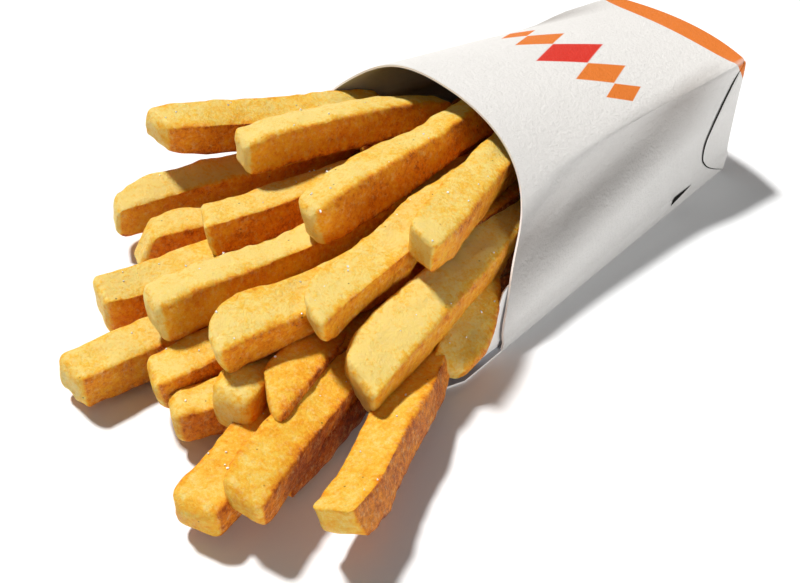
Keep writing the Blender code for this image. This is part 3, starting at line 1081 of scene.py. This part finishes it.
def make_potato():
    paint = Paint(
        "fried_crust", Subsurface_Weight=0.16, Subsurface_Radius=(1.0, 0.36, 0.08),
        Subsurface_Scale=0.0018, Specular_IOR_Level=0.28, Coat_Roughness=0.3, IOR=1.45)
    where, _ = paint.place()
    patch = paint.noise(where, PATCH_SIZE, 3.0, 0.55)
    mottle = paint.noise(where, MOTTLE_SIZE, 3.0, 0.6)
    grain = paint.noise(where, GRAIN_SIZE, 5.0, 0.75)
    brown, edge, tip, tone = (paint.attribute(k) for k in ("brown", "edge", "tip", "tone"))
    # The face term carries the crust's colour and painted shade on the right sides and undersides.
    scale = brown * 1.12 + tone * 0.75 + 0.01
    scale = scale + (patch - 0.5) * 0.5 + (mottle - 0.5) * 0.42 + (grain - 0.5) * 0.85
    scale = scale + edge * (mottle - 0.42) * 0.5 - tip * 0.14
    fried = paint.node("ShaderNodeValToRGB", {"stops": CRUST}, {"Fac": scale})
    pale = paint.noise(where, FLECK_SIZE, 4.0, 0.7).above(0.60, 0.16) * 0.35
    colour = paint.mix(pale, fried, FLECK)
    cells = ({"feature": "F1", "distance": "EUCLIDEAN"}, {"Vector": where, "Scale": 1 / SPECK_CELL})
    spot = paint.node("ShaderNodeTexVoronoi", *cells)
    dice = paint.node("ShaderNodeTexVoronoi", *cells, "Color")
    chance = paint.node("ShaderNodeSeparateColor", {}, {0: dice})
    speck = (SPECK_RADIUS - spot).above(0.0, 0.05) * chance.above(SPECK_CHANCE, 0.1) * 0.7
    colour = paint.mix(speck, colour, SPECK)
    bump = paint.bump(grain + paint.noise(where, BLISTER.size) * 0.7, GRAIN_DEPTH, 0.9)
    shine = 0.34 + grain * 0.3 + (mottle - 0.5) * 0.2
    oil = mottle.above(0.5, 0.3) * 0.08
    paint.feed(Base_Color=colour, Roughness=shine, Coat_Weight=oil, Normal=bump)
    return paint.material


crust = make_potato()
print("material:", crust.name)

# %% Rows of fries
def join_meshes(parts):
    """One set of points, faces and numbers from several."""
    faces, start = [], 0
    for part in parts:
        faces += [tuple(i + start for i in face) for face in part.faces]
        start += len(part.points)
    points = np.concatenate([part.points for part in parts])
    numbers = {k: np.concatenate([part.numbers[k] for part in parts]) for k in parts[0].numbers}
    return Mesh(points, faces, numbers)


def make_row(name, fries, seed, *parts, **rings):
    """One piece of fries, each with a seed of its own, and of any other parts."""
    made = [roughen(build_fry(fry, seed + i, **rings), seed + i) for i, fry in enumerate(fries)]
    whole = join_meshes([*parts, *made])
    row = make_piece(name, whole.points, whole.faces, crust, whole.numbers)
    settle(row, "fried_potato", "fries")
    return row


rows = [
    make_row("fries_top", TOP_ROW, 100),
    make_row("fries_middle", MIDDLE_ROW, 200),
    make_row("fries_lower", LOWER_ROW, 300),
    make_row("fries_floor", FLOOR_ROW, 400),
]

# %% [markdown]
# Between the fries that show, the carton is packed with others. They are hardly seen, so a rule
# with a seeded random draw places them: plain low fries that fan out as the carton does, and a
# mound under them that closes the last gaps, as the CAD model's core does. Both are given a
# darker tone than the fries on top, as painted shade deep in the heap.

# %% Packing under the fries
CoreStation = namedtuple("CoreStation", "y middle half_width height")
CORE = (
    CoreStation(43, 0, 19, 27.5),
    CoreStation(20, 0, 24, 29.5),
    CoreStation(-2, 0, 28, 29),
    CoreStation(-12, 0, 31, 17.5),
    CoreStation(-28, 1, 34, 17),
    CoreStation(-48, 5, 32, 15),
    CoreStation(-70, 12, 28, 12),
    CoreStation(-92, 20, 26, 7.5),
    CoreStation(-102, 23, 19, 4.5),
)
CORE_FLOOR = 1.4
CORE_ROWS = 120
CORE_ROUND = 96
RIDGE_SIZE = 7.0
RIDGE_STRETCH = (1.0, 0.12, 1.0)
RIDGE_DEPTH = 1.6
FILLER_DRAWS = 70
FILLER_SEED = 31
FILLER_GIRTH = 9.5
FILLER_Y = (-100, -10)
FILLER_LENGTH = (45, 80)
# Darker than the fries on top: painted shade deep in the heap.
FILLER_TONE = (0.3, 0.6)
FILLER_BACK = 40
FILLER_CLEAR = 8
FILLER_AROUND = 24
FILLER_STEP = 2.6
FAN_TURN = 0.33
FAN_SHIFT = 0.35 / 3


def core_at(y):
    """Middle, half width and height of the mound at this y."""
    ys, *measures = zip(*reversed(CORE))
    return [np.interp(y, ys, values) for values in measures]


def make_core():
    ys = np.linspace(CORE[0].y, CORE[-1].y, CORE_ROWS)
    turn = np.linspace(0, math.pi, CORE_ROUND)
    points = []
    for y in ys:
        middle, half, height = core_at(y)
        x = middle + half * np.cos(turn)
        z = CORE_FLOOR + (height - CORE_FLOOR) * np.sin(turn) ** 0.6
        points.append(np.stack([x, np.full(CORE_ROUND, y), z], -1))
    points = np.concatenate(points)
    ridges = (lumps(points * RIDGE_STRETCH, RIDGE_SIZE, 77) - 0.5) * RIDGE_DEPTH
    points[:, 2] = np.maximum(points[:, 2] + ridges, CORE_FLOOR)
    faces = grid_faces(CORE_ROWS, CORE_ROUND)
    faces.append(tuple(range(CORE_ROUND - 1, -1, -1)))
    last = (CORE_ROWS - 1) * CORE_ROUND
    faces.append(tuple(range(last, last + CORE_ROUND)))
    for low in range(0, last, CORE_ROUND):
        high = low + CORE_ROUND
        faces.append((high, high + CORE_ROUND - 1, high - 1, low))
    # A darker tone than the fries on top: painted shade deep in the heap.
    plain = {"brown": 0.35, "edge": 0.3, "tip": 0.0, "tone": 0.6}
    numbers = {k: np.full(len(points), v) for k, v in plain.items()}
    return Mesh(points, faces, numbers)


def filler_fries():
    """Seeded fries inside the mound's outline."""
    draw = np.random.default_rng(FILLER_SEED)
    fries = []
    for _ in range(FILLER_DRAWS):
        y = draw.uniform(*FILLER_Y)
        length = draw.uniform(*FILLER_LENGTH)
        middle, half, height = core_at(y)
        x = middle + draw.uniform(-0.85, 0.85) * half
        z = draw.uniform(5.5, max(6.0, height - 3.0))
        bearing = FAN_TURN * (x - FAN_SHIFT * y) + draw.uniform(-3, 3)
        heel_y = y + length
        heel_x = x - length * math.sin(math.radians(bearing))
        room = half_width((BASE_Y - heel_y) / SIDE_LENGTH) - FILLER_CLEAR
        if heel_y > FILLER_BACK or abs(heel_x) > room:
            continue
        fries.append(Fry(
            x, y, z, bearing, rise=0, length=length, width=FILLER_GIRTH, depth=FILLER_GIRTH,
            roll=draw.uniform(-15, 15), bow=0, sag=0, lean_side=0.2, lean_up=0.2, taper=0.2,
            tone=draw.uniform(*FILLER_TONE)))
    print("fillers:", len(fries))
    return fries


make_row(
    "fries_bed", filler_fries(), 600, make_core(), around=FILLER_AROUND, ring_step=FILLER_STEP)

# %% [markdown]
# Salt is a few dozen grains, each under half a millimetre: small broken cubes that catch the
# light. They are dropped from above on the fries that show: a ray finds where each one lands.

# %% Salt
SALT_DROPS = 130
SALT_SEED = 12
SALT_X = (-48, 75)
SALT_Y = (-130, -35)
SALT_HALF = (0.10, 0.24)
DROP_HEIGHT = 0.08
FLATTEST = 0.35
SALT_FOLD = 25


def salt_grains():
    graph = bpy.context.evaluated_depsgraph_get()
    trees = [BVHTree.FromObject(row, graph) for row in rows]
    draw = np.random.default_rng(SALT_SEED)
    cube = np.array([(x, y, z) for x in (-1, 1) for y in (-1, 1) for z in (-1, 1)], float)
    sides = ((0, 1, 3, 2), (4, 6, 7, 5), (0, 4, 5, 1), (2, 3, 7, 6), (0, 2, 6, 4), (1, 5, 7, 3))
    points, faces = [], []
    for _ in range(SALT_DROPS):
        start = Vector((draw.uniform(*SALT_X) * MM, draw.uniform(*SALT_Y) * MM, DROP_HEIGHT))
        hits = [tree.ray_cast(start, Vector((0, 0, -1))) for tree in trees]
        hits = [hit for hit in hits if hit[0] is not None]
        if not hits:
            continue
        spot, normal = max(hits, key=lambda hit: hit[0].z)[:2]
        if normal.z < FLATTEST:
            continue
        size = draw.uniform(*SALT_HALF)
        shape = cube * draw.uniform(0.7, 1.2, (8, 1)) * size * draw.uniform(0.6, 1.2, 3)
        spin = Matrix.Rotation(draw.uniform(0, 3), 3, "Z")
        spin = spin @ Matrix.Rotation(draw.uniform(-0.6, 0.6), 3, "X")
        turned = shape @ np.array(spin).T
        points.append(turned + np.array(spot) / MM + np.array(normal) * size * 0.5)
        faces += [tuple(i + 8 * (len(points) - 1) for i in side) for side in sides]
    return np.concatenate(points), faces


salt_paint = make_plain(
    "salt_grain", 0.25, (0.90, 0.88, 0.84), (0.99, 0.98, 0.96), 0.15, 0.35,
    Specular_IOR_Level=0.6, IOR=1.5)
salt = make_piece("salt", *salt_grains(), salt_paint)
settle(crisp(salt, SALT_FOLD), "fried_potato")

# %% [markdown]
# The light is a plain studio: a soft key high on the left, which throws short shadows to the
# right, a low wide fill from the right that lifts the side of the carton, and a faint warm sky.
# The floor is plain and almost white, so it burns out to white in the light and keeps a grey
# shadow.

# %% Floor, light and sky
KEY_FROM = Vector((-0.53, -0.12, 1.0))
KEY_STRENGTH = 3.85
KEY_ANGLE = 7.0
FILL_FROM = Vector((0.90, 0.10, 0.14))
FILL_STRENGTH = 1.30
FILL_ANGLE = 30.0
SKY = 0.13
SKY_COLOUR = (1.0, 0.97, 0.94, 1.0)
FLOOR_HALF = 6000
FLOOR_CORNERS = ((-1, -1), (1, -1), (1, 1), (-1, 1))
FLOOR_DROP = -0.02


def make_sun(name, source, strength, angle, colour):
    light = bpy.data.lights.new(name, "SUN")
    light.energy = strength
    light.angle = math.radians(angle)
    light.color = colour
    lamp = bpy.data.objects.new(name, light)
    lamp.rotation_euler = source.to_track_quat("Z", "Y").to_euler()
    bpy.context.scene.collection.objects.link(lamp)


def make_floor():
    paint = make_plain(
        "plain_floor", 60.0, (0.925, 0.942, 0.960), (0.935, 0.952, 0.970), 0.85, 0.05,
        Specular_IOR_Level=0.1)
    corners = [(x * FLOOR_HALF, y * FLOOR_HALF, FLOOR_DROP) for x, y in FLOOR_CORNERS]
    make_piece("floor", corners, [(0, 1, 2, 3)], paint)


make_floor()
make_sun("key", KEY_FROM, KEY_STRENGTH, KEY_ANGLE, (1.0, 0.985, 0.96))
make_sun("fill", FILL_FROM, FILL_STRENGTH, FILL_ANGLE, (1.0, 0.99, 0.975))
world = bpy.data.worlds.new("sky")
bpy.context.scene.world = world
world.use_nodes = True
background = world.node_tree.nodes["Background"].inputs
background["Color"].default_value = SKY_COLOUR
background["Strength"].default_value = SKY
bpy.context.scene.view_settings.view_transform = "Standard"

# %% [markdown]
# The camera was found by matching corners of the carton in the photograph: it looks down from the
# front right, a third of a metre away, with a lens a little longer than normal and a slight roll.

# %% Camera
AZIMUTH, ELEVATION, ROLL = (math.radians(a) for a in (51.57, 37.54, 1.96))
TARGET = Vector((-21.94, -23.59, -37.60))
DISTANCE = 340.92
LENS = 54.04


def make_camera():
    flat = math.cos(ELEVATION)
    back = Vector((math.sin(AZIMUTH) * flat, -math.cos(AZIMUTH) * flat, math.sin(ELEVATION)))
    right = (-back).cross(Vector((0, 0, 1))).normalized()
    up = right.cross(-back)
    across = right * math.cos(ROLL) + up * math.sin(ROLL)
    above = up * math.cos(ROLL) - right * math.sin(ROLL)
    lens = bpy.data.cameras.new("camera")
    lens.lens = LENS
    lens.clip_start = 0.01
    camera = bpy.data.objects.new("camera", lens)
    turn = Matrix((across, above, back)).transposed()
    camera.matrix_world = Matrix.Translation((TARGET + back * DISTANCE) * MM) @ turn.to_4x4()
    bpy.context.scene.collection.objects.link(camera)
    bpy.context.scene.camera = camera
    return camera


camera = make_camera()
print("camera at", [round(v, 3) for v in camera.matrix_world.translation])
